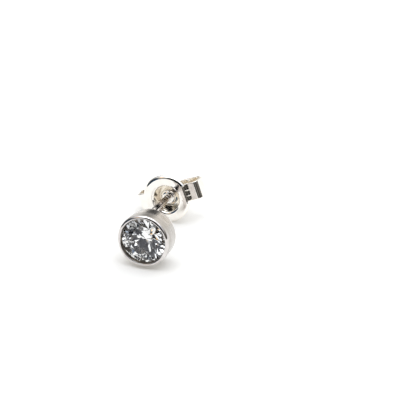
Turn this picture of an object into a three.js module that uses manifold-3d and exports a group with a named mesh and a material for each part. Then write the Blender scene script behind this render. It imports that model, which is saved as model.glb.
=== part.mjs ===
// Stud earring with a round clear stone, shown lying on a surface.
// A silver cup holds the stone under a rubbed-over rim. A plain post is soldered off centre to
// the cup's back plate, and a butterfly clutch sits on the post.
// Millimetres, Z up. The post's plan line is +Y, with the stone's face towards -Y.
// The origin is at the middle of the bounding box's base, where the earring rests on the surface.

import * as THREE from 'three';
import { mergeVertices } from 'three/addons/utils/BufferGeometryUtils.js';
import Module from 'manifold-3d';

const wasm = await Module();
wasm.setup();

// Driving dimensions. Distances along the post's direction are counted from the cup's rim.
const STONE_DIAMETER = 5.0;
const CUP_RADIUS = 2.875;
const CUP_BACK_RADIUS = 2.82;
const CUP_DEPTH = 3.1;
const BACK_ROUNDING = 0.6;
const RIM_ROUNDING = 0.28;
const OPENING_RADIUS = 2.44;
const GIRDLE_TOP = 0.48;
const STONE_GAP = 0.04;
const BACK_PLATE = 0.34;

const POST_RADIUS = 0.35;
const POST_TIP = 13.6;
const POST_OFFSET = 1.55;
const POST_ROLL_DEG = 45;
const SOLDER_RADIUS = 0.62;
const SOLDER_HEIGHT = 0.24;

const DISC_PLACE = 10.83;
const DISC_RADIUS = 2.72;
const SHEET = 0.26;
const HOLE_CLEARANCE = 0.08;
const RING_FRONT = 0.58;
const DISH_FLOOR = 1.0;
const BOSS_TOP = -0.08;
const BOSS_RADIUS = 0.95;
const RECESS_RADIUS = 1.62;
const RING_ROUNDING = 0.16;
const ROLL_RADIUS = 0.26;
const STRIP_WIDTH = 2.0;
const ROOT_X = 2.24;
const CREST_ROUNDING = 0.14;
const FOLD_DEPTH = 0.27;
const FOLD_ROUNDING = 0.15;
const BEND_X = 3.16;
const BEND_RADIUS = 0.45;
const SIDE_LEAN_DEG = 5;
const SIDE_LENGTH = 0.9;
const BACK_RADIUS = 0.85;
const NIP_RADIUS = 0.9;
const NIP_CLEARANCE = 0.045;

const ROUND_STEPS = 48;
const POST_STEPS = 24;
const CROWN_ANGLE_DEG = 34.5;
const PAVILION_ANGLE_DEG = 40.8;
const TABLE_RATIO = 0.57;
const STAR_RATIO = 0.78;
const LOWER_RATIO = 0.24;
const GIRDLE_HEIGHT = 0.1;
const MAIN_FACETS = 8;

const rad = THREE.MathUtils.degToRad;

// Helpers for closed solids.

function toManifold(geometry) {
  const g = geometry.index ? geometry.toNonIndexed() : geometry.clone();
  for (const name of Object.keys(g.attributes)) {
    if (name !== 'position') g.deleteAttribute(name);
  }
  const merged = mergeVertices(g, 1e-5);
  return new wasm.Manifold(new wasm.Mesh({
    numProp: 3,
    vertProperties: new Float32Array(merged.attributes.position.array),
    triVerts: new Uint32Array(merged.index.array),
  }));
}

function toGeometry(solid) {
  const mesh = solid.getMesh();
  const geometry = new THREE.BufferGeometry();
  const positions = new Float32Array((mesh.vertProperties.length / mesh.numProp) * 3);
  for (let i = 0; i < positions.length / 3; i += 1) {
    for (let k = 0; k < 3; k += 1) {
      positions[3 * i + k] = mesh.vertProperties[mesh.numProp * i + k];
    }
  }
  geometry.setAttribute('position', new THREE.BufferAttribute(positions, 3));
  geometry.setIndex(new THREE.BufferAttribute(new Uint32Array(mesh.triVerts), 1));
  return geometry;
}

function joined(geometries) {
  let solid = toManifold(geometries[0]);
  for (const other of geometries.slice(1)) solid = solid.add(toManifold(other));
  return toGeometry(solid);
}

// Points along an arc, from one angle to another, in degrees.
function arc(cx, cy, radius, from, to, steps) {
  const points = [];
  for (let i = 0; i <= steps; i += 1) {
    const t = rad(from + ((to - from) * i) / steps);
    points.push([cx + radius * Math.cos(t), cy + radius * Math.sin(t)]);
  }
  return points;
}

// Turns a profile of [radius, distance] pairs around the post's direction, which is +Y here.
// The turn starts half a step off, so that a flat of the polygon faces straight down.
function turned(profile, steps) {
  const points = profile.map(([r, u]) => new THREE.Vector2(r, u));
  const geometry = new THREE.LatheGeometry(points, steps, Math.PI / steps);
  return geometry;
}

// The closed outline of a sheet of even thickness around a middle line.
function sheetOutline(line, thickness) {
  const half = thickness / 2;
  const left = [];
  const right = [];
  for (let i = 0; i < line.length; i += 1) {
    const before = line[Math.max(i - 1, 0)];
    const after = line[Math.min(i + 1, line.length - 1)];
    const dx = after[0] - before[0];
    const dy = after[1] - before[1];
    const length = Math.hypot(dx, dy);
    left.push([line[i][0] - (half * dy) / length, line[i][1] + (half * dx) / length]);
    right.push([line[i][0] + (half * dy) / length, line[i][1] - (half * dx) / length]);
  }
  return left.concat(right.reverse());
}

// Smooth points through a few places of a middle line.
function smooth(places, steps) {
  const curve = new THREE.SplineCurve(places.map(([x, y]) => new THREE.Vector2(x, y)));
  return curve.getPoints(steps).map((p) => [p.x, p.y]);
}

// The setting, in its own frame: +Y runs from the stone's face to the post's tip.

const girdleRadius = STONE_DIAMETER / 2;
const crownSlope = Math.tan(rad(CROWN_ANGLE_DEG));
const pavilionSlope = Math.tan(rad(PAVILION_ANGLE_DEG));
const boreRadius = girdleRadius + STONE_GAP;
const culet = GIRDLE_TOP + GIRDLE_HEIGHT + girdleRadius * pavilionSlope;
const cavityFloor = CUP_DEPTH - BACK_PLATE;
const seatRadius = girdleRadius - 0.32;
const seatTop = GIRDLE_TOP + GIRDLE_HEIGHT + STONE_GAP;
const lipUnder = GIRDLE_TOP - STONE_GAP;
const lipInner = OPENING_RADIUS - 0.02;

function cupProfile() {
  const outline = [];
  outline.push([0, CUP_DEPTH]);
  outline.push(...arc(
    CUP_BACK_RADIUS - BACK_ROUNDING, CUP_DEPTH - BACK_ROUNDING, BACK_ROUNDING, 90, 0, 6,
  ));
  outline.push(...arc(
    CUP_RADIUS - RIM_ROUNDING, RIM_ROUNDING, RIM_ROUNDING, 0, -90, 4,
  ));
  outline.push([OPENING_RADIUS + 0.06, 0.01]);
  outline.push([OPENING_RADIUS, 0.06]);
  outline.push([lipInner, lipUnder - (boreRadius - lipInner) * crownSlope]);
  outline.push([boreRadius, lipUnder]);
  outline.push([boreRadius, seatTop]);
  outline.push([seatRadius, seatTop + (boreRadius - seatRadius) * pavilionSlope]);
  outline.push([seatRadius, cavityFloor]);
  outline.push([0, cavityFloor]);
  return outline;
}

function postProfile() {
  const foot = CUP_DEPTH - 0.5 * BACK_PLATE;
  const outline = [[0, foot], [SOLDER_RADIUS, foot], [SOLDER_RADIUS, CUP_DEPTH + 0.02]];
  outline.push([0.72 * SOLDER_RADIUS, CUP_DEPTH + 0.3 * SOLDER_HEIGHT]);
  outline.push([POST_RADIUS, CUP_DEPTH + SOLDER_HEIGHT]);
  outline.push(...arc(0, POST_TIP - POST_RADIUS, POST_RADIUS, 0, 75, 4));
  outline.push([0, POST_TIP]);
  return outline;
}

// The post stands off the cup's axis, rolled to the left of straight up.
const postShift = new THREE.Vector3(
  -POST_OFFSET * Math.sin(rad(POST_ROLL_DEG)),
  0,
  POST_OFFSET * Math.cos(rad(POST_ROLL_DEG)),
);

const cupGeometry = turned(cupProfile().reverse(), ROUND_STEPS);
const postGeometry = turned(postProfile(), POST_STEPS);
postGeometry.translate(postShift.x, postShift.y, postShift.z);
const settingGeometry = joined([cupGeometry, postGeometry]);

// The stone: table, stars, kites, upper halves, girdle, lower halves and mains.

function stoneGeometry() {
  const step = (2 * Math.PI) / MAIN_FACETS;
  const tableRadius = girdleRadius * TABLE_RATIO;
  const table = GIRDLE_TOP - (girdleRadius - tableRadius) * crownSlope;
  const half = Math.cos(step / 2);
  const at = (radius, turn, u) => new THREE.Vector3(
    radius * Math.sin(turn), u, radius * Math.cos(turn),
  );
  const starRadius = girdleRadius * STAR_RATIO;
  const starDepth = GIRDLE_TOP - (girdleRadius - starRadius * half) * crownSlope;
  const lowerRadius = girdleRadius * LOWER_RATIO;
  const lowerDepth = culet - lowerRadius * half * pavilionSlope;
  const rings = { table: [], star: [], top: [], low: [], lower: [] };
  for (let i = 0; i < MAIN_FACETS; i += 1) {
    const turn = i * step;
    rings.table.push(at(tableRadius, turn, table));
    rings.star.push(at(starRadius, turn + step / 2, starDepth));
    rings.top.push(at(girdleRadius, turn, GIRDLE_TOP));
    rings.top.push(at(girdleRadius, turn + step / 2, GIRDLE_TOP));
    rings.low.push(at(girdleRadius, turn, GIRDLE_TOP + GIRDLE_HEIGHT));
    rings.low.push(at(girdleRadius, turn + step / 2, GIRDLE_TOP + GIRDLE_HEIGHT));
    rings.lower.push(at(lowerRadius, turn + step / 2, lowerDepth));
  }
  const tip = new THREE.Vector3(0, culet, 0);
  const triangles = [];
  const face = (...corners) => {
    for (let i = 1; i < corners.length - 1; i += 1) {
      triangles.push([corners[0], corners[i], corners[i + 1]]);
    }
  };
  face(...rings.table);
  const n = MAIN_FACETS;
  for (let i = 0; i < n; i += 1) {
    const j = (i + 1) % n;
    const before = (i + n - 1) % n;
    face(rings.table[i], rings.star[i], rings.table[j]);
    face(rings.table[i], rings.star[before], rings.top[2 * i], rings.star[i]);
    face(rings.star[i], rings.top[2 * i], rings.top[2 * i + 1]);
    face(rings.star[i], rings.top[2 * i + 1], rings.top[2 * j]);
    face(rings.top[2 * i], rings.low[2 * i], rings.low[2 * i + 1], rings.top[2 * i + 1]);
    face(rings.top[2 * i + 1], rings.low[2 * i + 1], rings.low[2 * j], rings.top[2 * j]);
    face(rings.low[2 * i], rings.lower[i], rings.low[2 * i + 1]);
    face(rings.low[2 * i + 1], rings.lower[i], rings.low[2 * j]);
    face(rings.low[2 * i], rings.lower[before], tip, rings.lower[i]);
  }
  // Each triangle faces away from the middle of the stone.
  const middle = new THREE.Vector3(0, GIRDLE_TOP + 0.2, 0);
  const positions = [];
  for (const [a, b, c] of triangles) {
    const normal = b.clone().sub(a).cross(c.clone().sub(a));
    const outward = a.clone().add(b).add(c).divideScalar(3).sub(middle);
    const order = normal.dot(outward) > 0 ? [a, b, c] : [a, c, b];
    for (const p of order) positions.push(p.x, p.y, p.z);
  }
  const geometry = new THREE.BufferGeometry();
  geometry.setAttribute('position', new THREE.Float32BufferAttribute(positions, 3));
  return geometry;
}

// The clutch, in a frame with the post on +Y and its disc at Y = 0.

const holeRadius = POST_RADIUS + HOLE_CLEARANCE;

// The disc's middle line: the tall boss round the hole, the dish, the ring and its rolled edge.
function discLine() {
  const line = smooth([
    [holeRadius, BOSS_TOP],
    [holeRadius + 0.11, BOSS_TOP + 0.01],
    [0.69 * BOSS_RADIUS, BOSS_TOP + 0.1],
    [0.81 * BOSS_RADIUS, 0.24],
    [0.89 * BOSS_RADIUS, 0.52],
    [0.95 * BOSS_RADIUS, DISH_FLOOR - 0.18],
    [1.04 * BOSS_RADIUS, DISH_FLOOR],
    [1.2 * BOSS_RADIUS, DISH_FLOOR],
    [RECESS_RADIUS - 0.35, DISH_FLOOR - 0.16],
    [RECESS_RADIUS - 0.2, 0.42],
    [RECESS_RADIUS - 0.08, -0.06],
    [RECESS_RADIUS, -RING_FRONT + 0.2],
  ], 20);
  line.push(...arc(
    RECESS_RADIUS + RING_ROUNDING, RING_ROUNDING - RING_FRONT, RING_ROUNDING, 170, 270, 4,
  ));
  const edge = DISC_RADIUS - SHEET / 2 - ROLL_RADIUS;
  line.push(...arc(edge, ROLL_RADIUS - RING_FRONT, ROLL_RADIUS, -90, -10, 5));
  return line;
}

function discGeometry() {
  const outline = sheetOutline(discLine(), SHEET);
  const closed = outline.concat([outline[0]]).reverse();
  return turned(closed, ROUND_STEPS);
}

// A strip's middle line: down behind the ring's crest, round the boxy curl and back to the nip.
function stripLine() {
  const depth = FOLD_DEPTH - FOLD_ROUNDING;
  const line = [[ROOT_X - 0.4, -RING_FRONT]];
  line.push(...arc(
    ROOT_X - CREST_ROUNDING, CREST_ROUNDING - RING_FRONT, CREST_ROUNDING, -90, 0, 4,
  ));
  line.push(...arc(ROOT_X + FOLD_ROUNDING, depth, FOLD_ROUNDING, 180, 90, 4));
  line.push(...arc(BEND_X, FOLD_DEPTH + BEND_RADIUS, BEND_RADIUS, -90, -SIDE_LEAN_DEG, 6));
  const [endX, endY] = line[line.length - 1];
  const lean = rad(SIDE_LEAN_DEG);
  const backX = endX + SIDE_LENGTH * Math.sin(lean) - BACK_RADIUS * Math.cos(lean);
  const backY = endY + SIDE_LENGTH * Math.cos(lean) + BACK_RADIUS * Math.sin(lean);
  line.push(...arc(backX, backY, BACK_RADIUS, -SIDE_LEAN_DEG, 90, 8));
  const nipX = POST_RADIUS + NIP_CLEARANCE + SHEET / 2 + NIP_RADIUS;
  line.push(...arc(nipX, backY + BACK_RADIUS - NIP_RADIUS, NIP_RADIUS, 90, 200, 12));
  return line;
}

function stripGeometry() {
  const outline = sheetOutline(stripLine(), SHEET);
  const shape = new THREE.Shape(outline.map(([x, y]) => new THREE.Vector2(x, y)));
  const geometry = new THREE.ExtrudeGeometry(shape, {
    depth: STRIP_WIDTH, bevelEnabled: false, steps: 1,
  });
  geometry.translate(0, 0, -STRIP_WIDTH / 2);
  return geometry;
}

// The ring stops at each strip's fold, so that the fold's crease is straight.
function clutchGeometry(roll) {
  let solid = toManifold(discGeometry());
  const reach = DISC_RADIUS - ROOT_X + 0.1;
  for (const turn of [-roll, Math.PI - roll]) {
    const beyond = new THREE.BoxGeometry(reach, 1.0, STRIP_WIDTH - 0.06);
    beyond.translate(ROOT_X + reach / 2, -0.4, 0);
    solid = solid.subtract(toManifold(beyond.rotateY(turn)));
    solid = solid.add(toManifold(stripGeometry().rotateY(turn)));
  }
  return toGeometry(solid);
}

// The resting pose. The axis dips by `dip`, and the strips are rolled by `roll` about the post,
// until cup, disc and the left scroll all touch the surface.

function lowest(geometry, dip) {
  const p = geometry.attributes.position;
  let low = Infinity;
  for (let i = 0; i < p.count; i += 1) {
    low = Math.min(low, p.getZ(i) * Math.cos(dip) - p.getY(i) * Math.sin(dip));
  }
  return low;
}

function solve(low, high, gap) {
  let a = low;
  let b = high;
  for (let i = 0; i < 50; i += 1) {
    const mid = (a + b) / 2;
    if (gap(mid) > 0) a = mid;
    else b = mid;
  }
  return (a + b) / 2;
}

function onPost(geometry) {
  return geometry.translate(postShift.x, DISC_PLACE, postShift.z);
}

const restingDisc = onPost(discGeometry());
const dip = solve(0, rad(30), (t) => lowest(restingDisc, t) - lowest(settingGeometry, t));
const floorLevel = lowest(settingGeometry, dip);
const roll = solve(rad(5), rad(60), (t) => (
  lowest(onPost(stripGeometry().rotateY(Math.PI - t)), dip) - floorLevel
));

// Materials.

const silver = new THREE.MeshStandardMaterial({
  color: 0xd8d6d2, metalness: 1.0, roughness: 0.32,
});
const brightSilver = new THREE.MeshStandardMaterial({
  color: 0xe2dfda, metalness: 1.0, roughness: 0.16,
});
const clearStone = new THREE.MeshStandardMaterial({
  color: 0xdfe6ee, metalness: 0.0, roughness: 0.02,
});

function piece(name, geometry, material) {
  geometry.computeVertexNormals();
  const mesh = new THREE.Mesh(geometry, material);
  mesh.name = name;
  return mesh;
}

const earring = new THREE.Group();
earring.add(piece('bezel_setting', settingGeometry, silver));
earring.add(piece('stone', stoneGeometry(), clearStone));
const clutch = piece('butterfly_clutch', clutchGeometry(roll), brightSilver);
clutch.position.set(postShift.x, DISC_PLACE, postShift.z);
earring.add(clutch);
earring.rotation.x = -dip;

// The origin goes to the middle of the base of the bounding box.
const group = new THREE.Group();
group.add(earring);
group.updateMatrixWorld(true);
const box = new THREE.Box3().setFromObject(group, true);
earring.position.set(
  -(box.min.x + box.max.x) / 2, -(box.min.y + box.max.y) / 2, -box.min.z,
);
group.updateMatrixWorld(true);

export default group;
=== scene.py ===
"""Stud earring with a round clear stone, lying on a pale surface.

A silver cup holds the stone under a rubbed-over rim. A plain post is soldered off centre to the
cup's back plate, and a butterfly clutch of folded sheet sits on the post.
Shapes are drawn in millimetres, with +Y along the post from the rim, and placed at the end.
"""

import math

import bmesh
import bpy
from mathutils import Matrix, Vector, noise

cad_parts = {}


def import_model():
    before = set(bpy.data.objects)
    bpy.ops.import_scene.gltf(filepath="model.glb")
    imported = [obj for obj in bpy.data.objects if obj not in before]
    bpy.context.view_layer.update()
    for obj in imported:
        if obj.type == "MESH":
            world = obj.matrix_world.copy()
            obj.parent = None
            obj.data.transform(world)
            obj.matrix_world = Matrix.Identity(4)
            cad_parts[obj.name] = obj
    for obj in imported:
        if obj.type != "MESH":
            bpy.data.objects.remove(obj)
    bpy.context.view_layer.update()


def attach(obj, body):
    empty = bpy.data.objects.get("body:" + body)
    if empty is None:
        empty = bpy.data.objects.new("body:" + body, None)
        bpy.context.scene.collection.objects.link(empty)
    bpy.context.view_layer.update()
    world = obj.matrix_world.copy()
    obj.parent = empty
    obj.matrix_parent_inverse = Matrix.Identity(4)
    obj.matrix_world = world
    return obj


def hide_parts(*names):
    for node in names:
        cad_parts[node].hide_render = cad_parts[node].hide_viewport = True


MM = 0.001

# The setting and the stone.
STONE_DIAMETER = 5.0
CUP_RADIUS = 2.875
CUP_BACK_RADIUS = 2.82
CUP_DEPTH = 3.1
BACK_ROUNDING = 0.6
RIM_ROUNDING = 0.28
OPENING_RADIUS = 2.44
GIRDLE_TOP = 0.48
GIRDLE_HEIGHT = 0.1
STONE_GAP = 0.04
BACK_PLATE = 0.34
POST_RADIUS = 0.35
POST_TIP = 13.6
POST_OFFSET = 1.55
POST_ROLL = math.radians(45)
SOLDER_RADIUS = 0.62
SOLDER_HEIGHT = 0.24
CROWN_ANGLE = math.radians(34.5)
PAVILION_ANGLE = math.radians(40.8)
TABLE_RATIO = 0.57
STAR_RATIO = 0.78
LOWER_RATIO = 0.24
MAIN_FACETS = 8
STONE_TURN = math.radians(11)
CREVICE_WIDTH = 0.1
SATIN_START = 0.3
WALL_WAVE = 0.004
RIM_WAVE = 0.018
RIM_LIFT = 0.012
WAVE_REACH = 0.5

# The finishes of the cup's bands. The third is darkened metal: painted shade in the crevice round the
# stone and in the seat, with some tarnish.
POLISHED, SATIN, TARNISH_AND_SHADE = range(3)

# The clutch.
DISC_PLACE = 10.83
DISC_RADIUS = 2.72
SHEET = 0.26
HOLE_CLEARANCE = 0.08
RING_FRONT = 0.58
DISH_FLOOR = 1.0
BOSS_TOP = -0.08
BOSS_RADIUS = 0.95
RECESS_RADIUS = 1.62
RING_ROUNDING = 0.16
ROLL_RADIUS = 0.26
STRIP_WIDTH = 2.0
ROOT_X = 2.24
CREST_ROUNDING = 0.14
FOLD_DEPTH = 0.27
FOLD_ROUNDING = 0.15
BEND_X = 3.16
BEND_RADIUS = 0.45
SIDE_LEAN = 5.0
SIDE_LENGTH = 0.9
BACK_RADIUS = 0.85
NIP_RADIUS = 0.9
NIP_CLEARANCE = 0.045
CLUTCH_ROLL = math.radians(22.06)
EDGE_ROUNDING = 0.07
RIB_PLACE = 0.31
RIB_WIDTH = 0.045
RIB_HEIGHT = 0.035
RIB_REACH = 0.55
TRIM_MARGIN = 0.06
TRIM_BLEND = 0.05

# How finely the round shapes are divided.
LATHE_STEPS = 256
POST_STEPS = 64
GIRDLE_STEPS = 96
EDGE_STEPS = 5
CORNER_STEPS = 10
ACROSS_STEPS = 48
END_RINGS = 3
SHARP_ANGLE = 40.0

# How the earring lies: its axis dips towards the clutch, and the rim's centre is here.
DIP = math.radians(8.677)
RIM_CENTRE = Vector((1.0699, -6.6513, 3.1622))

# The photograph's camera, and where the rim's centre falls in its frame, in pixels.
CAMERA_AZIMUTH = math.radians(21.31)
CAMERA_ELEVATION = math.radians(30.4)
CAMERA_DISTANCE = 230.0
PIXELS_PER_MM = 9.45
FRAME_SIZE = 420
RIM_CENTRE_PIXEL = (141.8, 240.6)
SENSOR = 36.0

# Light and floor.
SKY_STRENGTH = 1.0
CLUTTER_SCALE = 4.5
CLUTTER_RANGE = (0.6, 1.4)
FLOOR_REACH = 600.0
FLOOR_GLOW = 0.2
FLOOR_TINT = (1.0, 0.97, 0.9)

# The tent's brightness by height above the horizon, as (sine of the elevation, colour).
TENT = [
    (0.0, (0.09, 0.085, 0.075)),
    (0.22, (0.25, 0.24, 0.22)),
    (0.41, (0.42, 0.42, 0.41)),
    (0.6, (0.66, 0.67, 0.69)),
    (0.8, (1.2, 1.22, 1.26)),
    (0.92, (2.1, 2.15, 2.2)),
    (1.0, (2.6, 2.65, 2.7)),
]

# Soft-edged patches of the surroundings: name, azimuth and elevation in degrees, radius and
# soft edge on the unit sphere, colour. A later patch covers an earlier one.
PATCHES = [
    ("glow_behind", 180, 8, 0.95, 0.5, (1.1, 1.06, 1.0)),
    ("gap_behind", 194, 16, 0.27, 0.09, (0.15, 0.15, 0.15)),
    ("dark_left", 294, 6, 0.66, 0.25, (0.03, 0.045, 0.06)),
    ("dark_right", 66, 5, 0.42, 0.2, (0.07, 0.065, 0.06)),
    ("dark_front", 13, 32, 0.62, 0.16, (0.012, 0.012, 0.014)),
    ("blue_left", 325, 2, 0.26, 0.14, (0.06, 0.11, 0.19)),
    ("lamp_left", 318, 36, 0.16, 0.08, (1.3, 0.85, 0.42)),
    ("window_right", 62, 44, 0.12, 0.06, (0.9, 1.15, 1.5)),
]

# Colours, from the darker to the paler end of each material's noise, and the relief in mm.
# The wall's tones vary at random and are darkened overall: painted shade.
WALL_SHADED_TONES = ((0.56, 0.54, 0.515), (0.68, 0.66, 0.64))
STREAK_TONES = ((0.7, 0.67, 0.63), (1.0, 1.0, 1.0))
# The crevice's and the seat's dark tones are painted shade, with some tarnish.
TARNISH_AND_SHADE_TONES = ((0.22, 0.18, 0.14), (0.46, 0.41, 0.35))
# The cup's silver is darker than the clutch's: painted shade that dims the rim's and the post's
# reflections.
CUP_SHADED_TONES = ((0.64, 0.605, 0.59), (0.78, 0.75, 0.735))
CLUTCH_TONES = ((0.9, 0.87, 0.82), (0.96, 0.935, 0.89))
STONE_TONES = ((0.96, 0.975, 0.99), (1.0, 1.0, 1.0))
FLOOR_TONES = ((0.9, 0.9, 0.895), (0.92, 0.92, 0.915))
WALL_RELIEF = 0.01
SILVER_RELIEF = 0.002

# The wall's roughness falls between these places along the axis.
SATIN_ROUGHNESS = 0.34
BRIGHT_ROUGHNESS = 0.12
SATIN_END = 1.1
BRIGHT_END = 1.7

STONE_IOR = 2.17
STONE_GLEAM = (0.45, 0.46, 0.5)

GIRDLE_RADIUS = STONE_DIAMETER / 2
BORE_RADIUS = GIRDLE_RADIUS + STONE_GAP
HOLE_RADIUS = POST_RADIUS + HOLE_CLEARANCE


def setting_place():
    """From the earring's own frame to where it lies."""
    return Matrix.Translation(RIM_CENTRE * MM) @ Matrix.Rotation(-DIP, 4, "X")


def post_shift():
    across = -POST_OFFSET * math.sin(POST_ROLL)
    up = POST_OFFSET * math.cos(POST_ROLL)
    return Vector((across, 0.0, up))


def clutch_place():
    shift = post_shift() + Vector((0.0, DISC_PLACE, 0.0))
    turn = Matrix.Rotation(-CLUTCH_ROLL, 4, "Y")
    return setting_place() @ Matrix.Translation(shift * MM) @ turn


# Lines and outlines in a plane, as lists of (x, y).


def arc(cx, cy, radius, start, end, steps):
    points = []
    for i in range(steps + 1):
        t = math.radians(start + (end - start) * i / steps)
        points.append((cx + radius * math.cos(t), cy + radius * math.sin(t)))
    return points


def smooth_line(places, steps):
    """Points on a smooth curve through a few places."""
    last = len(places) - 1
    points = []
    for k in range(steps + 1):
        place = last * k / steps
        i = min(int(place), last)
        t = place - i
        four = [places[min(max(i + n, 0), last)] for n in (-1, 0, 1, 2)]
        point = []
        for a, b, c, d in zip(*four):
            v0 = (c - a) / 2
            v1 = (d - b) / 2
            cubic = (2 * b - 2 * c + v0 + v1) * t**3
            square = (3 * c - 3 * b - 2 * v0 - v1) * t**2
            point.append(cubic + square + v0 * t + b)
        points.append(tuple(point))
    return points


def directions(line):
    """The unit direction of a line at each of its points."""
    found = []
    for i in range(len(line)):
        before = line[max(i - 1, 0)]
        after = line[min(i + 1, len(line) - 1)]
        dx = after[0] - before[0]
        dy = after[1] - before[1]
        length = math.hypot(dx, dy)
        found.append((dx / length, dy / length))
    return found


def rounded_end(point, direction, half):
    """The corners at one end of a sheet, from its left side to its right side."""
    px, py = point
    tx, ty = direction
    corners = []
    for side in (1, -1):
        for k in range(EDGE_STEPS + 1):
            part = k / EDGE_STEPS
            t = math.pi / 2 * (part if side > 0 else 1 - part)
            along = EDGE_ROUNDING * math.sin(t) - EDGE_ROUNDING
            across = side * (half - EDGE_ROUNDING + EDGE_ROUNDING * math.cos(t))
            corners.append((px + tx * along - ty * across, py + ty * along + tx * across))
    return corners


def sheet_outline(line):
    """The closed outline of a sheet of even thickness with rounded edges."""
    half = SHEET / 2
    facing = directions(line)
    left = []
    right = []
    for (x, y), (tx, ty) in list(zip(line, facing))[1:-1]:
        left.append((x - half * ty, y + half * tx))
        right.append((x + half * ty, y - half * tx))
    far = rounded_end(line[-1], facing[-1], half)
    back = (-facing[0][0], -facing[0][1])
    near = rounded_end(line[0], back, half)
    return left + far + right[::-1] + near


# Meshes.


def add_lathe(bm, profile, steps, closed, wobble=None, material=None):
    """Turns a profile of (radius, distance) around +Y. material gives each band's index."""
    rings = []
    for radius, along in profile:
        if radius < 1e-6:
            rings.append([bm.verts.new((0.0, along, 0.0))])
            continue
        ring = []
        for k in range(steps):
            turn = 2 * math.pi * k / steps
            r, u = radius, along
            if wobble:
                r, u = wobble(radius, along, turn)
            ring.append(bm.verts.new((r * math.sin(turn), u, r * math.cos(turn))))
        rings.append(ring)
    bands = len(rings) if closed else len(rings) - 1
    for i in range(bands):
        one = rings[i]
        two = rings[(i + 1) % len(rings)]
        for k in range(steps):
            n = (k + 1) % steps
            if len(one) == 1:
                face = bm.faces.new((one[0], two[k], two[n]))
            elif len(two) == 1:
                face = bm.faces.new((one[k], two[0], one[n]))
            else:
                face = bm.faces.new((one[k], two[k], two[n], one[n]))
            face.material_index = material(i) if material else 0


def finish_mesh(bm, name, place, materials, sharp_angle=SHARP_ANGLE, shift=None):
    """Makes an object of a mesh that is drawn in millimetres, in its own frame."""
    bmesh.ops.recalc_face_normals(bm, faces=bm.faces)
    if shift is not None:
        bmesh.ops.translate(bm, verts=bm.verts, vec=shift)
    mesh = bpy.data.meshes.new(name)
    bm.to_mesh(mesh)
    bm.free()
    own = mesh.attributes.new("own_mm", "FLOAT_VECTOR", "POINT")
    for vertex, value in zip(mesh.vertices, own.data):
        value.vector = vertex.co
    mesh.transform(place @ Matrix.Scale(MM, 4))
    for material in materials:
        mesh.materials.append(material)
    if sharp_angle > 0:
        mesh.shade_smooth()
        mesh.set_sharp_from_angle(angle=math.radians(sharp_angle))
    piece = bpy.data.objects.new(name, mesh)
    bpy.context.scene.collection.objects.link(piece)
    return piece


# The cup. Its bands are the back plate, the wall, the rubbed-over rim and the bore.


def cup_profile():
    """The cup's outline, with the finish of each band."""
    bands = []

    def add(points, finish):
        for point in points:
            bands.append((point, finish))

    add([(0.0, CUP_DEPTH), (0.9, CUP_DEPTH), (1.7, CUP_DEPTH)], POLISHED)
    corner_r = CUP_BACK_RADIUS - BACK_ROUNDING
    add(arc(corner_r, CUP_DEPTH - BACK_ROUNDING, BACK_ROUNDING, 90, 10, 16), POLISHED)
    wall_end = CUP_DEPTH - BACK_ROUNDING
    for k in range(21):
        t = k / 20
        radius = CUP_BACK_RADIUS + (CUP_RADIUS - CUP_BACK_RADIUS) * t
        along = wall_end + (RIM_ROUNDING - wall_end) * t
        bands.append(((radius, along), SATIN if SATIN_START < along else POLISHED))
    rim_r = CUP_RADIUS - RIM_ROUNDING
    add(arc(rim_r, RIM_ROUNDING, RIM_ROUNDING, -9, -90, 10), POLISHED)
    crevice = OPENING_RADIUS + CREVICE_WIDTH
    add([(crevice + 0.04, 0.004), (crevice, 0.02)], POLISHED)
    # From here inwards the metal is darkened: painted shade in the crevice and the seat, with some
    # tarnish.
    add([(crevice - 0.02, 0.05), (crevice - 0.04, 0.1)], TARNISH_AND_SHADE)
    lip_under = GIRDLE_TOP - STONE_GAP
    lip_inner = OPENING_RADIUS - 0.02
    slope = math.tan(CROWN_ANGLE)
    add([(lip_inner, lip_under - (BORE_RADIUS - lip_inner) * slope)], TARNISH_AND_SHADE)
    seat_top = GIRDLE_TOP + GIRDLE_HEIGHT + STONE_GAP
    seat_radius = GIRDLE_RADIUS - 0.32
    add([(BORE_RADIUS, lip_under), (BORE_RADIUS, seat_top)], TARNISH_AND_SHADE)
    seat_low = seat_top + (BORE_RADIUS - seat_radius) * math.tan(PAVILION_ANGLE)
    cavity_floor = CUP_DEPTH - BACK_PLATE
    add([(seat_radius, seat_low), (seat_radius, cavity_floor), (0.0, cavity_floor)], TARNISH_AND_SHADE)
    return bands


def cup_wobble(radius, along, turn):
    """The slight unevenness of a rim that was rubbed over by hand."""
    if radius < 1.0:
        return radius, along
    around = Vector((math.sin(turn), math.cos(turn), 0.0))
    fine = noise.noise(around * 7.0 + Vector((0, 0, 3.1)))
    broad = noise.noise(around * 2.2 + Vector((0, 0, 9.7)))
    near_rim = max(0.0, 1.0 - along / WAVE_REACH)
    amount = WALL_WAVE + RIM_WAVE * near_rim
    return radius + amount * (fine + 0.6 * broad) * 0.7, along + RIM_LIFT * near_rim * broad


def make_cup(polished, satin, tarnish_and_shade_metal):
    bands = cup_profile()
    bm = bmesh.new()
    profile = [point for point, _ in bands]
    finishes = [finish for _, finish in bands]
    add_lathe(bm, profile, LATHE_STEPS, False, cup_wobble, lambda i: finishes[i])
    return finish_mesh(bm, "bezel_cup", setting_place(), [polished, satin, tarnish_and_shade_metal])


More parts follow.
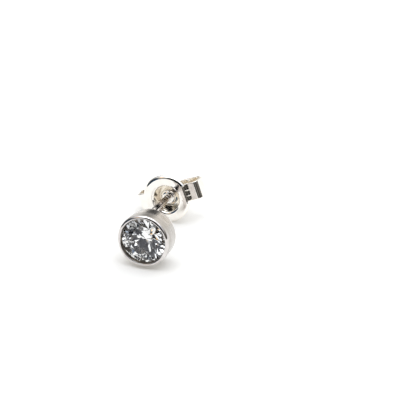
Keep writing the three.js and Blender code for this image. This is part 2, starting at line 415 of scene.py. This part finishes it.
def make_post(polished):
    profile = [(0.0, CUP_DEPTH - 0.1), (SOLDER_RADIUS, CUP_DEPTH - 0.1)]
    reach = SOLDER_RADIUS - POST_RADIUS
    for k in range(9):
        t = math.radians(90 * k / 8)
        radius = SOLDER_RADIUS - reach * math.sin(t)
        profile.append((radius, CUP_DEPTH + SOLDER_HEIGHT * (1 - math.cos(t))))
    straight_end = POST_TIP - POST_RADIUS
    for k in range(1, 41):
        t = k / 40
        start = CUP_DEPTH + SOLDER_HEIGHT
        profile.append((POST_RADIUS, start + (straight_end - start) * t))
    profile += arc(0, straight_end, POST_RADIUS, 8, 82, 9)
    profile.append((0.0, POST_TIP))
    bm = bmesh.new()
    add_lathe(bm, profile, POST_STEPS, False)
    return finish_mesh(bm, "earring_post", setting_place(), [polished], shift=post_shift())


# The stone: a round brilliant, cut from a blank plane by plane.


def around_axis(radius, turn, along):
    return Vector((radius * math.sin(turn), along, radius * math.cos(turn)))


def cut(bm, a, b, c):
    """Cuts away what lies outside the plane through three points."""
    middle = Vector((0.0, GIRDLE_TOP + 0.3, 0.0))
    normal = (b - a).cross(c - a).normalized()
    if normal.dot(a - middle) < 0:
        normal = -normal
    geometry = list(bm.verts) + list(bm.edges) + list(bm.faces)
    result = bmesh.ops.bisect_plane(
        bm, geom=geometry, plane_co=a, plane_no=normal, dist=1e-6, clear_outer=True,
    )
    edges = [g for g in result["geom_cut"] if isinstance(g, bmesh.types.BMEdge)]
    if len(edges) > 2:
        bmesh.ops.contextual_create(bm, geom=edges)
    bmesh.ops.remove_doubles(bm, verts=bm.verts, dist=1e-5)


def make_stone(clear):
    step = 2 * math.pi / MAIN_FACETS
    slope = math.tan(CROWN_ANGLE)
    table_r = GIRDLE_RADIUS * TABLE_RATIO
    star_r = GIRDLE_RADIUS * STAR_RATIO
    lower_r = GIRDLE_RADIUS * LOWER_RATIO
    table = GIRDLE_TOP - (GIRDLE_RADIUS - table_r) * slope
    star = GIRDLE_TOP - (GIRDLE_RADIUS - star_r * math.cos(step / 2)) * slope
    low = GIRDLE_TOP + GIRDLE_HEIGHT
    pavilion = math.tan(PAVILION_ANGLE)
    culet = low + GIRDLE_RADIUS * pavilion
    lower = low + (GIRDLE_RADIUS - lower_r * math.cos(step / 2)) * pavilion
    bm = bmesh.new()
    blank = [(0, table), (GIRDLE_RADIUS, table), (GIRDLE_RADIUS, culet), (0, culet)]
    add_lathe(bm, blank, GIRDLE_STEPS, False)
    for i in range(MAIN_FACETS):
        here = i * step + STONE_TURN
        star_at = around_axis(star_r, here + step / 2, star)
        star_before = around_axis(star_r, here - step / 2, star)
        lower_at = around_axis(lower_r, here + step / 2, lower)
        lower_before = around_axis(lower_r, here - step / 2, lower)
        top = around_axis(GIRDLE_RADIUS, here, GIRDLE_TOP)
        top_half = around_axis(GIRDLE_RADIUS, here + step / 2, GIRDLE_TOP)
        top_next = around_axis(GIRDLE_RADIUS, here + step, GIRDLE_TOP)
        down = Vector((0.0, GIRDLE_HEIGHT, 0.0))
        cut(bm, top, star_before, star_at)
        cut(bm, star_at, top, top_half)
        cut(bm, star_at, top_half, top_next)
        cut(bm, around_axis(table_r, here, table), star_at, around_axis(table_r, here + step, table))
        cut(bm, top + down, lower_before, lower_at)
        cut(bm, lower_at, top + down, top_half + down)
        cut(bm, lower_at, top_half + down, top_next + down)
    return finish_mesh(bm, "cut_stone", setting_place(), [clear], sharp_angle=0)


# The clutch: one dished disc with two strips that curl back to grip the post.


def disc_line():
    """The disc's middle line: the tall boss round the hole, the dish, the ring and its edge."""
    line = smooth_line([
        (HOLE_RADIUS, BOSS_TOP),
        (HOLE_RADIUS + 0.11, BOSS_TOP + 0.01),
        (0.69 * BOSS_RADIUS, BOSS_TOP + 0.1),
        (0.81 * BOSS_RADIUS, 0.24),
        (0.89 * BOSS_RADIUS, 0.52),
        (0.95 * BOSS_RADIUS, DISH_FLOOR - 0.18),
        (1.04 * BOSS_RADIUS, DISH_FLOOR),
        (1.2 * BOSS_RADIUS, DISH_FLOOR),
        (RECESS_RADIUS - 0.35, DISH_FLOOR - 0.16),
        (RECESS_RADIUS - 0.2, 0.42),
        (RECESS_RADIUS - 0.08, -0.06),
        (RECESS_RADIUS, -RING_FRONT + 0.2),
    ], 66)
    crest = RING_ROUNDING - RING_FRONT
    line += arc(RECESS_RADIUS + RING_ROUNDING, crest, RING_ROUNDING, 170, 270, 10)
    roll = DISC_RADIUS - SHEET / 2 - ROLL_RADIUS
    line += arc(roll, ROLL_RADIUS - RING_FRONT, ROLL_RADIUS, -90, -10, 14)
    return line


def strip_line():
    """A strip's middle line: down behind the ring's crest, round the boxy curl, and back to the nip."""
    line = [(ROOT_X - 0.3, -RING_FRONT), (ROOT_X - 0.15, -RING_FRONT)]
    line += arc(ROOT_X - CREST_ROUNDING, CREST_ROUNDING - RING_FRONT, CREST_ROUNDING, -90, 0, 8)
    for k in range(1, 9):
        depth = FOLD_DEPTH - FOLD_ROUNDING
        start = CREST_ROUNDING - RING_FRONT
        line.append((ROOT_X, start + (depth - start) * k / 9))
    line += arc(ROOT_X + FOLD_ROUNDING, FOLD_DEPTH - FOLD_ROUNDING, FOLD_ROUNDING, 180, 90, 10)
    for k in range(1, 7):
        line.append((ROOT_X + FOLD_ROUNDING + (BEND_X - ROOT_X - FOLD_ROUNDING) * k / 7, FOLD_DEPTH))
    line += arc(BEND_X, FOLD_DEPTH + BEND_RADIUS, BEND_RADIUS, -90, -SIDE_LEAN, 16)
    end_x, end_y = line[-1]
    lean = math.radians(SIDE_LEAN)
    for k in range(1, 9):
        step = SIDE_LENGTH * k / 8
        line.append((end_x + step * math.sin(lean), end_y + step * math.cos(lean)))
    back_x = line[-1][0] - BACK_RADIUS * math.cos(lean)
    back_y = line[-1][1] + BACK_RADIUS * math.sin(lean)
    line += arc(back_x, back_y, BACK_RADIUS, 6 - SIDE_LEAN, 90, 18)
    nip_x = POST_RADIUS + NIP_CLEARANCE + SHEET / 2 + NIP_RADIUS
    top = back_y + BACK_RADIUS
    for k in range(1, 9):
        line.append((back_x + (nip_x - back_x) * k / 9, top))
    line += arc(nip_x, top - NIP_RADIUS, NIP_RADIUS, 90, 200, 34)
    return line


def strip_section(half, width, rounding):
    """A rounded rectangle as (offset from the middle line, place across the strip)."""
    points = []
    for side in (1, -1):
        for k in range(ACROSS_STEPS + 1):
            place = (width / 2 - rounding) * (1 - 2 * k / ACROSS_STEPS) * side
            points.append((side * half, place))
        for k in range(1, CORNER_STEPS):
            t = math.pi * k / CORNER_STEPS
            offset = half - rounding + rounding * abs(math.cos(t))
            edge = width / 2 - rounding + rounding * math.sin(t)
            face = side if k < CORNER_STEPS / 2 else -side
            points.append((face * offset, -side * edge))
    return points


def rib_height(x, y, place):
    """Two low ribs stiffen the fold between the neck and the large curl."""
    near = math.hypot(x - ROOT_X, y - FOLD_DEPTH)
    along = max(0.0, 1.0 - near / RIB_REACH)
    across = min(abs(place - RIB_PLACE), abs(place + RIB_PLACE)) / RIB_WIDTH
    return RIB_HEIGHT * along * math.exp(-across * across)


def make_strip(bm, side):
    line = strip_line()
    facing = directions(line)
    half = SHEET / 2
    rings = []
    count = len(line)
    for i, ((x, y), (tx, ty)) in enumerate(zip(line, facing)):
        inset = 0.0
        from_end = min(i, count - 1 - i)
        if from_end < END_RINGS:
            part = (from_end + 0.5) / (END_RINGS + 0.5)
            inset = EDGE_ROUNDING * (1 - math.sin(math.pi / 2 * part))
        ring = []
        rounding = EDGE_ROUNDING - inset * 0.9
        section = strip_section(half - inset, STRIP_WIDTH - 2 * inset, rounding)
        for offset, place in section:
            if offset < 0:
                offset -= rib_height(x, y, place)
            px = x - ty * offset
            py = y + tx * offset
            ring.append(bm.verts.new((side * px, py, place)))
        rings.append(ring)
    size = len(rings[0])
    for one, two in zip(rings, rings[1:]):
        for k in range(size):
            n = (k + 1) % size
            bm.faces.new((one[k], two[k], two[n], one[n]))
    bm.faces.new(rings[0])
    bm.faces.new(rings[-1])


def disc_trim(radius, along, turn):
    """The ring stops short at each strip's fold, where the crease is straight."""
    across = abs(radius * math.cos(turn))
    limit = ROOT_X / max(abs(math.sin(turn)), 0.01)
    if radius > limit:
        t = (across - STRIP_WIDTH / 2 + TRIM_MARGIN) / TRIM_BLEND
        t = min(max(t, 0.0), 1.0)
        radius = limit + (radius - limit) * t * t * (3 - 2 * t)
    return radius, along


def make_clutch(bright):
    bm = bmesh.new()
    add_lathe(bm, sheet_outline(disc_line()), LATHE_STEPS, True, disc_trim)
    make_strip(bm, 1)
    make_strip(bm, -1)
    return finish_mesh(bm, "folded_clutch", clutch_place(), [bright])


# Materials.


def new_material(name):
    material = bpy.data.materials.new(name)
    material.use_nodes = True
    nodes = material.node_tree.nodes
    return material, nodes, material.node_tree.links, nodes["Principled BSDF"]


def millimetres(nodes, links, scale):
    """The piece's own coordinates in millimetres, stretched by a scale for each direction."""
    own = nodes.new("ShaderNodeAttribute")
    own.attribute_name = "own_mm"
    mapping = nodes.new("ShaderNodeMapping")
    mapping.inputs["Scale"].default_value = scale
    links.new(own.outputs["Vector"], mapping.inputs["Vector"])
    return mapping.outputs["Vector"]


def noise_node(nodes, links, vector, scale, detail, roughness=0.5):
    texture = nodes.new("ShaderNodeTexNoise")
    texture.inputs["Scale"].default_value = scale
    texture.inputs["Detail"].default_value = detail
    texture.inputs["Roughness"].default_value = roughness
    links.new(vector, texture.inputs["Vector"])
    return texture.outputs["Fac"]


def ramp(nodes, links, fac, tones, start=0.3, end=0.7):
    """A colour that runs from the first tone to the second."""
    node = nodes.new("ShaderNodeValToRGB")
    node.color_ramp.elements[0].position = start
    node.color_ramp.elements[1].position = end
    node.color_ramp.elements[0].color = (*tones[0], 1.0)
    node.color_ramp.elements[1].color = (*tones[1], 1.0)
    links.new(fac, node.inputs["Fac"])
    return node.outputs["Color"]


def spread(nodes, links, fac, low, high):
    """A number that runs from low to high over the middle of a noise."""
    node = nodes.new("ShaderNodeMapRange")
    node.inputs["From Min"].default_value = 0.3
    node.inputs["From Max"].default_value = 0.7
    node.inputs["To Min"].default_value = low
    node.inputs["To Max"].default_value = high
    links.new(fac, node.inputs["Value"])
    return node.outputs["Result"]


def bump(nodes, links, height, distance):
    """The normal of a surface raised by a noise, up to a distance in millimetres."""
    node = nodes.new("ShaderNodeBump")
    node.inputs["Strength"].default_value = 1.0
    node.inputs["Distance"].default_value = distance * MM
    links.new(height, node.inputs["Height"])
    return node.outputs["Normal"]


def satin_silver():
    """The cup's wall: brushed around the axis, satin by the rim and brighter towards the back."""
    material, nodes, links, shader = new_material("satin_silver")
    shader.inputs["Metallic"].default_value = 1.0
    streaks = noise_node(nodes, links, millimetres(nodes, links, (0.3, 11, 0.3)), 1.0, 5, 0.7)
    patches = noise_node(nodes, links, millimetres(nodes, links, (0.7, 0.9, 0.7)), 1.0, 2)
    tone = nodes.new("ShaderNodeMix")
    tone.data_type = "RGBA"
    tone.blend_type = "MULTIPLY"
    tone.inputs[0].default_value = 1.0
    # The wall's darkened tones are painted shade.
    links.new(ramp(nodes, links, patches, WALL_SHADED_TONES), tone.inputs[6])
    links.new(ramp(nodes, links, streaks, STREAK_TONES, 0.36, 0.6), tone.inputs[7])
    links.new(tone.outputs[2], shader.inputs["Base Color"])
    depth = nodes.new("ShaderNodeSeparateXYZ")
    links.new(millimetres(nodes, links, (1, 1, 1)), depth.inputs["Vector"])
    rough = nodes.new("ShaderNodeMapRange")
    rough.inputs["From Min"].default_value = SATIN_END
    rough.inputs["From Max"].default_value = BRIGHT_END
    rough.inputs["To Min"].default_value = SATIN_ROUGHNESS
    rough.inputs["To Max"].default_value = BRIGHT_ROUGHNESS
    links.new(depth.outputs["Y"], rough.inputs["Value"])
    links.new(rough.outputs["Result"], shader.inputs["Roughness"])
    links.new(bump(nodes, links, streaks, WALL_RELIEF), shader.inputs["Normal"])
    return material


def tarnish_and_shade_silver():
    """Darkened, unpolished metal of the seat and of the crevice round the stone: painted shade, with
    some tarnish.
    """
    material, nodes, links, shader = new_material("tarnish_and_shade_silver")
    shader.inputs["Metallic"].default_value = 1.0
    stains = noise_node(nodes, links, millimetres(nodes, links, (1.6, 1.6, 1.6)), 1.0, 3)
    links.new(ramp(nodes, links, stains, TARNISH_AND_SHADE_TONES), shader.inputs["Base Color"])
    links.new(spread(nodes, links, stains, 0.3, 0.5), shader.inputs["Roughness"])
    return material


def polished_silver(name, tones, smooth, rough):
    """Bright silver with a faint waviness and the fine marks of handling."""
    material, nodes, links, shader = new_material(name)
    shader.inputs["Metallic"].default_value = 1.0
    waves = noise_node(nodes, links, millimetres(nodes, links, (1, 1, 1)), 1.3, 1)
    marks = noise_node(nodes, links, millimetres(nodes, links, (6, 1.5, 6)), 1.0, 5, 0.65)
    links.new(ramp(nodes, links, waves, tones), shader.inputs["Base Color"])
    links.new(spread(nodes, links, marks, smooth, rough), shader.inputs["Roughness"])
    links.new(bump(nodes, links, waves, SILVER_RELIEF), shader.inputs["Normal"])
    return material


def clear_stone():
    """A clear, strongly refracting stone, with the faintest cloudiness."""
    material, nodes, links, shader = new_material("clear_stone")
    haze = noise_node(nodes, links, millimetres(nodes, links, (1, 1, 1)), 0.8, 2)
    links.new(ramp(nodes, links, haze, STONE_TONES), shader.inputs["Base Color"])
    shader.inputs["Roughness"].default_value = 0.0
    shader.inputs["IOR"].default_value = STONE_IOR
    shader.inputs["Transmission Weight"].default_value = 1.0
    shader.inputs["Specular Tint"].default_value = (*STONE_GLEAM, 1.0)
    return material


def pale_floor():
    material, nodes, links, shader = new_material("pale_floor")
    grain = noise_node(nodes, links, millimetres(nodes, links, (0.1, 0.1, 0.1)), 1.0, 3)
    links.new(ramp(nodes, links, grain, FLOOR_TONES), shader.inputs["Base Color"])
    shader.inputs["Roughness"].default_value = 0.7
    shader.inputs["Specular IOR Level"].default_value = 0.2
    shader.inputs["Emission Color"].default_value = (*FLOOR_TINT, 1.0)
    shader.inputs["Emission Strength"].default_value = FLOOR_GLOW
    return material


# The stage: a pale surface under a white tent, with the camera at its open side.


def make_floor():
    bm = bmesh.new()
    bmesh.ops.create_grid(bm, x_segments=8, y_segments=8, size=FLOOR_REACH)
    floor = finish_mesh(bm, "floor", Matrix.Identity(4), [pale_floor()], sharp_angle=0)


def camera_axes():
    a = CAMERA_AZIMUTH
    e = CAMERA_ELEVATION
    forward = Vector((-math.sin(a) * math.cos(e), math.cos(a) * math.cos(e), -math.sin(e)))
    right = Vector((math.cos(a), math.sin(a), 0.0))
    return forward, right, right.cross(forward)


def make_camera():
    forward, right, up = camera_axes()
    data = bpy.data.cameras.new("camera")
    data.sensor_width = SENSOR
    data.lens = PIXELS_PER_MM * CAMERA_DISTANCE / FRAME_SIZE * SENSOR
    data.clip_start = 0.01
    data.clip_end = 10.0
    camera = bpy.data.objects.new("camera", data)
    bpy.context.scene.collection.objects.link(camera)
    eye = RIM_CENTRE - forward * CAMERA_DISTANCE
    half = FRAME_SIZE / 2
    across = (half - RIM_CENTRE_PIXEL[0]) / PIXELS_PER_MM
    above = (RIM_CENTRE_PIXEL[1] - half) / PIXELS_PER_MM
    aim = RIM_CENTRE + right * across + up * above
    look = (aim - eye).normalized()
    camera.rotation_mode = "QUATERNION"
    camera.rotation_quaternion = look.to_track_quat("-Z", "Y")
    camera.location = eye * MM
    bpy.context.scene.camera = camera


def sky_direction(azimuth, elevation):
    a = math.radians(azimuth)
    e = math.radians(elevation)
    return Vector((math.sin(a) * math.cos(e), -math.cos(a) * math.cos(e), math.sin(e)))


def make_world():
    world = bpy.data.worlds.new("tent")
    bpy.context.scene.world = world
    world.use_nodes = True
    nodes = world.node_tree.nodes
    links = world.node_tree.links
    coordinates = nodes.new("ShaderNodeTexCoord")
    facing = coordinates.outputs["Generated"]
    parts = nodes.new("ShaderNodeSeparateXYZ")
    links.new(facing, parts.inputs["Vector"])
    heights = nodes.new("ShaderNodeValToRGB")
    stops = heights.color_ramp.elements
    stops[0].position = TENT[0][0]
    stops[0].color = (*TENT[0][1], 1.0)
    stops[1].position = TENT[-1][0]
    stops[1].color = (*TENT[-1][1], 1.0)
    for place, colour in TENT[1:-1]:
        stop = stops.new(place)
        stop.color = (*colour, 1.0)
    links.new(parts.outputs["Z"], heights.inputs["Fac"])
    seen = heights.outputs["Color"]
    for name, azimuth, elevation, radius, soft, colour in PATCHES:
        away = nodes.new("ShaderNodeVectorMath")
        away.operation = "DISTANCE"
        away.inputs[1].default_value = sky_direction(azimuth, elevation)
        links.new(facing, away.inputs[0])
        edge = nodes.new("ShaderNodeMapRange")
        edge.interpolation_type = "SMOOTHSTEP"
        edge.inputs["From Min"].default_value = radius - soft
        edge.inputs["From Max"].default_value = radius
        edge.inputs["To Min"].default_value = 1.0
        edge.inputs["To Max"].default_value = 0.0
        links.new(away.outputs["Value"], edge.inputs["Value"])
        mix = nodes.new("ShaderNodeMix")
        mix.data_type = "RGBA"
        mix.label = name
        links.new(edge.outputs["Result"], mix.inputs[0])
        links.new(seen, mix.inputs[6])
        mix.inputs[7].default_value = (*colour, 1.0)
        seen = mix.outputs[2]
    clutter = noise_node(nodes, links, facing, CLUTTER_SCALE, 3, 0.6)
    varied = nodes.new("ShaderNodeVectorMath")
    varied.operation = "SCALE"
    links.new(seen, varied.inputs[0])
    links.new(spread(nodes, links, clutter, *CLUTTER_RANGE), varied.inputs["Scale"])
    links.new(varied.outputs["Vector"], nodes["Background"].inputs["Color"])
    nodes["Background"].inputs["Strength"].default_value = SKY_STRENGTH
    world.cycles.sampling_method = "MANUAL"
    world.cycles.sample_map_resolution = 1024


def set_render():
    scene = bpy.context.scene
    scene.view_settings.view_transform = "Standard"
    scene.view_settings.look = "None"
    scene.view_settings.exposure = 0.0
    scene.cycles.max_bounces = 32
    scene.cycles.glossy_bounces = 16
    scene.cycles.transmission_bounces = 32
    scene.cycles.diffuse_bounces = 4
    scene.cycles.sample_clamp_indirect = 8.0
    scene.cycles.use_denoising = True


def main():
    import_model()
    make_camera()
    # The cup's and the post's silver is darkened: painted shade.
    polished = polished_silver("polished_silver", CUP_SHADED_TONES, 0.08, 0.15)
    bright = polished_silver("bright_silver", CLUTCH_TONES, 0.05, 0.08)
    satin = satin_silver()
    clear = clear_stone()
    cup = make_cup(polished, satin, tarnish_and_shade_silver())
    post = make_post(polished)
    stone = make_stone(clear)
    clutch = make_clutch(bright)
    for piece in (cup, post, stone):
        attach(piece, "stud")
    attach(clutch, "clutch")
    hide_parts("bezel_setting")
    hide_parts("bezel_setting")
    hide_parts("stone")
    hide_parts("butterfly_clutch")
    make_floor()
    make_world()
    set_render()


main()
